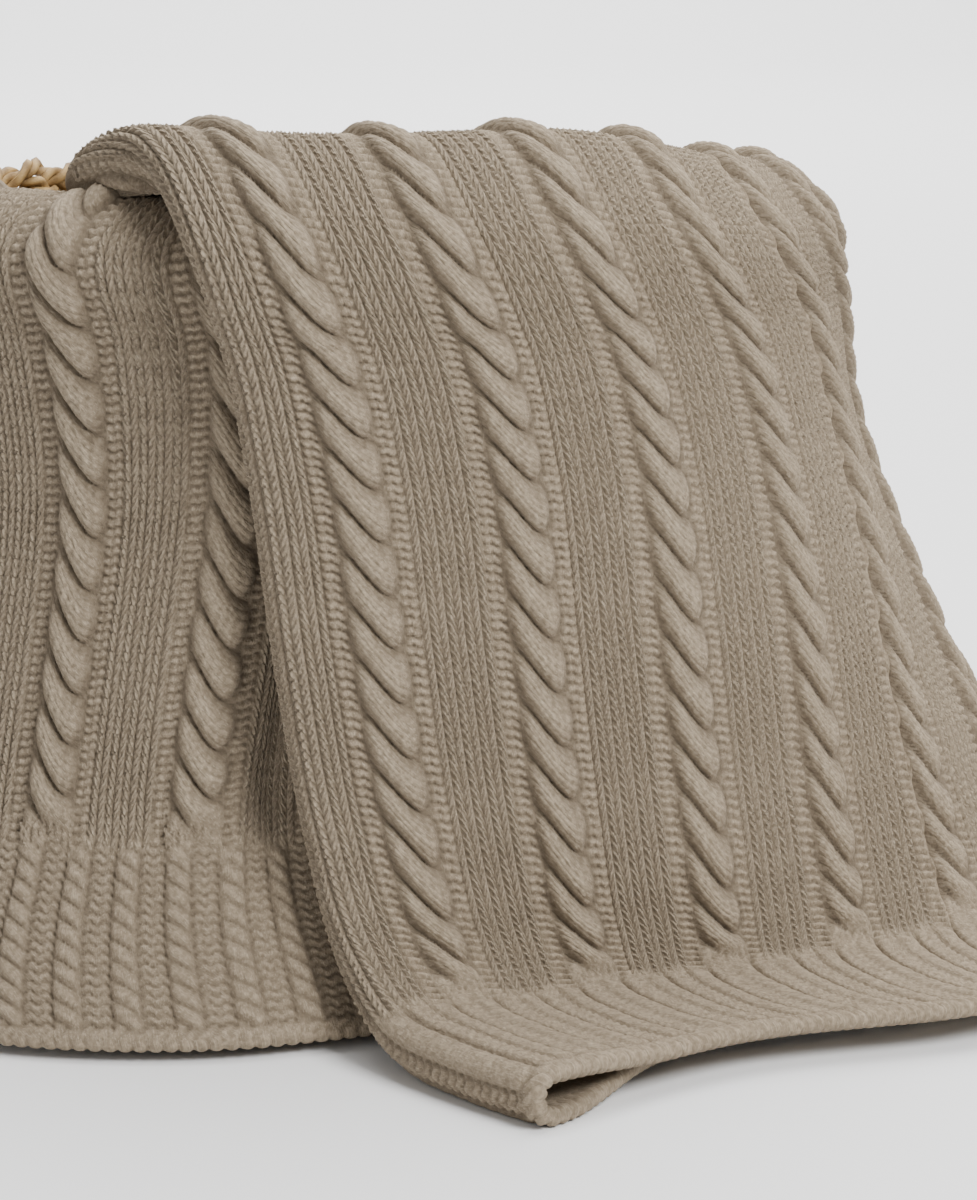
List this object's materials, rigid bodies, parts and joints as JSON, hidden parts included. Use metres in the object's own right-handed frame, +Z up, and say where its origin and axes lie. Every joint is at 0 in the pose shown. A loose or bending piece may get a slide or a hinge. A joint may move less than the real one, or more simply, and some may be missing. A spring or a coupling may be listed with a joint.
{
  "type": "wool blanket over a basket",
  "caption": "Cable-knit oatmeal wool blanket, folded in half lengthwise and draped over the front of a round woven basket, one end lying on the floor",
  "frame": {"origin": "middle of the basket's underside, on the floor", "axes": "+Z up; the front, where both ends of the blanket hang, faces -Y; +X is to the right seen from the front, on the side of the end that lies on the floor"},
  "size_m": [0.7211, 0.6218, 0.3921],
  "materials": {
    "oatmeal_wool": "soft matt knitted wool",
    "woven_seagrass": "dry woven grass, matt",
    "plaited_seagrass": "dry plaited grass with a slight sheen"
  },
  "bodies": {
    "root": {"blanket": "oatmeal_wool", "basket_body": "woven_seagrass", "basket_rim": "plaited_seagrass"}
  },
  "joints": []
}
